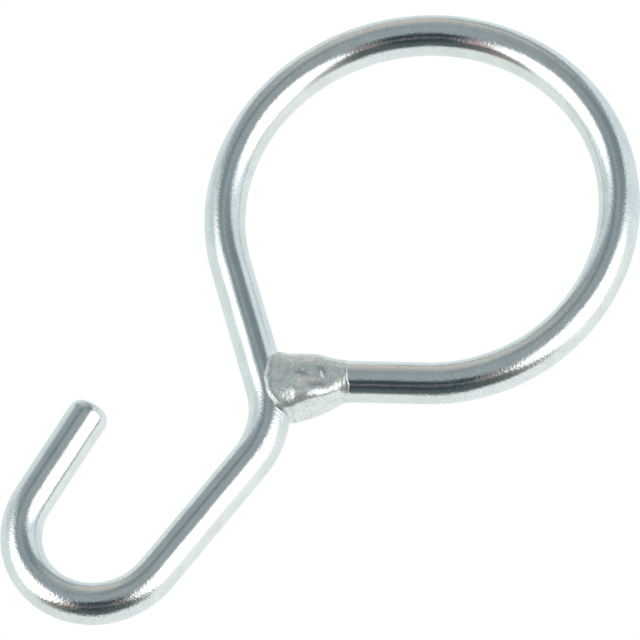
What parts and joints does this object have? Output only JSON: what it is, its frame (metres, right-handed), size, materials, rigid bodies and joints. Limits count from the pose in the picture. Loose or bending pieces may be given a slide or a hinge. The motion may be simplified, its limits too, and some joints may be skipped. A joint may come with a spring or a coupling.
{
  "type": "meat hook",
  "caption": "Butcher's hanging hook bent from one 8 mm round zinc-plated rod, with a welded rail ring above a straight shank and a blunt open hook.",
  "frame": {"origin": "rail seat: the lowest point of the ring's inner top, where the hook hangs on a rail, in the middle of the rod's thickness", "axes": "+Z from the hook bend's centre up to the ring's centre, the way it hangs. The rod's centreline lies in the XZ plane, the hook opens towards -X, and +Y is square to that plane, away from the face with the visible weld."},
  "size_m": [0.0848, 0.0096, 0.1513],
  "materials": {
    "zinc_rod": "bright zinc plated",
    "zinc_weld": "bright zinc plated weld, rippled"
  },
  "bodies": {
    "root": {"hook_rod": "zinc_rod", "weld_front": "zinc_weld", "weld_back": "zinc_weld"}
  },
  "joints": []
}
